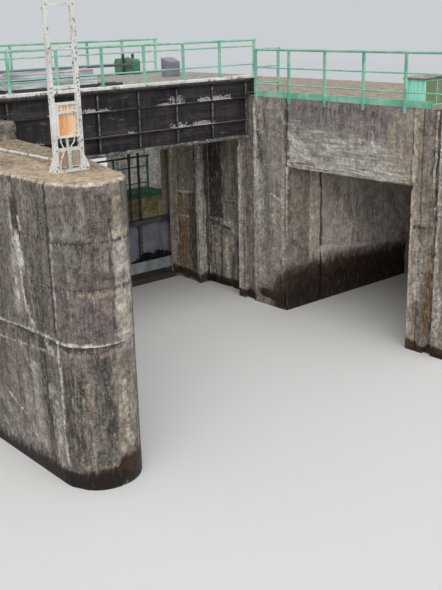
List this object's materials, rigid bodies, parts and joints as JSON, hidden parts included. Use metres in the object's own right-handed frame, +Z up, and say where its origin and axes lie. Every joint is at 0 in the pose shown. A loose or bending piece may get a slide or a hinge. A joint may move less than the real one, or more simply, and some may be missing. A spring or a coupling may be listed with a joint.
{
  "type": "sluice gate",
  "caption": "River sluice: round-nosed concrete pier, abutment with side outlet, footbridge with green railings, and a steel lift gate in slots.",
  "frame": {"origin": "on the ground under the middle of the whole plan", "axes": "+X along the bridge from the pier to the abutment, +Y upstream, +Z up"},
  "size_m": [13.58, 12.2, 7.8],
  "materials": {
    "concrete": "matte",
    "mossy_concrete": "matte",
    "dark_steel": "matte",
    "green_paint": "satin",
    "dark_green_paint": "satin",
    "gate_paint": "satin",
    "white_paint": "satin",
    "rusty_panel": "matte",
    "weathered_board": "matte",
    "grey_paint": "satin"
  },
  "bodies": {
    "structure": {"pier_nose": "concrete", "pier_recess_back": "concrete", "pier_pilaster": "concrete", "pier_slot_back": "concrete", "pier_tail": "concrete", "pier_bearing_block": "concrete", "bearing_plinths": "concrete", "wall_column": "concrete", "outlet_lintel": "concrete", "outlet_side_wall": "concrete", "downstream_wall": "concrete", "rear_wall": "concrete", "upstream_end_wall": "concrete", "abutment_deck": "concrete", "bay_recess_back": "concrete", "bay_pilaster": "concrete", "bay_slot_back": "concrete", "bay_wall_upstream": "concrete", "gate_sill": "concrete", "slot_guides": "dark_steel", "bridge_deck": "concrete", "cover_plates": "dark_steel", "downstream_girder": "dark_steel", "upstream_girder": "dark_steel", "cross_beams": "dark_steel", "bridge_steps": "concrete", "downstream_railing": "green_paint", "upstream_railing": "green_paint", "wall_railing": "green_paint", "return_railing": "green_paint", "cabinet": "green_paint", "cabinet_roof": "concrete", "stored_stop_logs": "weathered_board", "control_box": "grey_paint", "mast_frame": "white_paint", "mast_panel_box": "rusty_panel", "conduit": "white_paint", "breast_beam": "mossy_concrete", "walkway_beam": "dark_green_paint", "walkway_railing": "dark_green_paint", "hoist_near_pier": "green_paint", "hoist_near_wall": "green_paint", "hoist_shaft": "dark_steel"},
    "gate": {"gate_skin": "gate_paint", "gate_ribs": "gate_paint", "gate_frame": "gate_paint", "stem_near_pier": "dark_steel", "stem_near_wall": "dark_steel"}
  },
  "joints": [
    {"name": "gate_lift", "type": "slide", "parent": "structure", "child": "gate", "axis": [0, 0, 1], "range_m": [-0.125, 1.45]}
  ]
}
